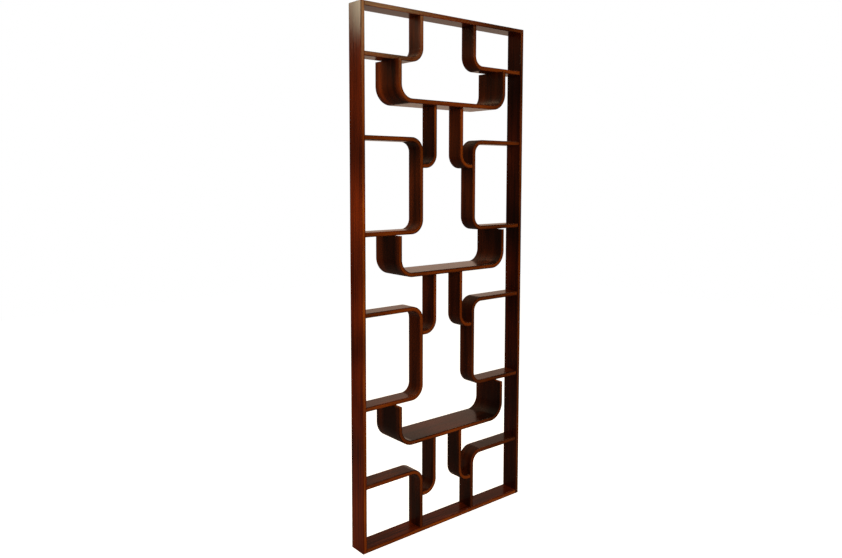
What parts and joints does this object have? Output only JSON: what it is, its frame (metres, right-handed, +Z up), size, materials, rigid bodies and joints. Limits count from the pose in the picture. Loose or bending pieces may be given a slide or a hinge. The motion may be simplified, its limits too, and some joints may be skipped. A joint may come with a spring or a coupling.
{
  "type": "partition screen",
  "caption": "Tall open room divider: a narrow board frame filled with bent plywood bays, deep trays and hooked hangers, in dark lacquered mahogany veneer.",
  "frame": {"origin": "on the ground at the middle of the frame's width and depth, on the underside of the bottom rail", "axes": "+Z up; +X to the right seen from the front; the front is towards -Y"},
  "size_m": [0.883, 0.15, 2.13],
  "materials": {
    "frame_boards": "dark mahogany veneer, semi-gloss lacquer",
    "bent_boards": "dark mahogany veneer on bent plywood, semi-gloss lacquer, lighter brown edges"
  },
  "bodies": {
    "root": {"left_stile": "frame_boards", "right_stile": "frame_boards", "top_rail": "frame_boards", "bottom_rail": "frame_boards", "top_bracket_left": "bent_boards", "bottom_bracket_left": "bent_boards", "upper_bay_left": "bent_boards", "lower_bay_left": "bent_boards", "upper_hanger_left": "bent_boards", "middle_hanger_left": "bent_boards", "lower_hanger_left": "bent_boards", "top_bracket_right": "bent_boards", "bottom_bracket_right": "bent_boards", "upper_bay_right": "bent_boards", "lower_bay_right": "bent_boards", "upper_hanger_right": "bent_boards", "middle_hanger_right": "bent_boards", "lower_hanger_right": "bent_boards", "upper_tray": "bent_boards", "middle_tray": "bent_boards", "lower_tray": "bent_boards"}
  },
  "joints": []
}
